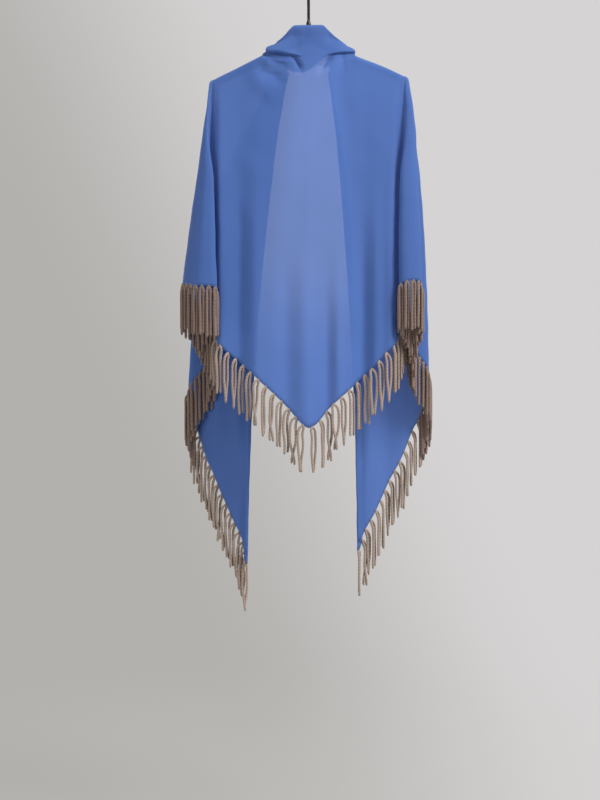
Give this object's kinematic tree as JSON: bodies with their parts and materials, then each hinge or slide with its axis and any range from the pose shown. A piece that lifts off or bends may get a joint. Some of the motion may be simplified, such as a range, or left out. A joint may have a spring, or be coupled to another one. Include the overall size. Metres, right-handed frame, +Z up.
{
  "type": "fringed triangular shawl cape on a hanger",
  "caption": "Large triangular shawl worn as a cape, with a folded-in collar, pleated sides, pointed back and fringed hems, draped over a plain hanger with a wire hook.",
  "frame": {"origin": "inside top of the hook, where it rests on a rail", "axes": "+Z up, the back of the shawl faces -Y and its open front faces +Y, +X is to the right when seen from behind"},
  "size_m": [0.5115, 0.149, 1.2432],
  "materials": {
    "cloth": "fine matt blue weave, thin enough to let some light through",
    "fringe": "soft matt taupe yarn",
    "hanger": "matt black",
    "wire": "satin black"
  },
  "bodies": {
    "root": {"shawl_back": "cloth", "shawl_side_left": "cloth", "shawl_side_right": "cloth", "shawl_front_left": "cloth", "shawl_front_right": "cloth", "shawl_collar": "cloth", "fringe_back": "fringe", "fringe_side_left": "fringe", "fringe_side_right": "fringe", "fringe_front_left": "fringe", "fringe_front_right": "fringe", "hanger_arms": "hanger", "hanger_neck": "hanger", "hook": "wire"}
  },
  "joints": []
}
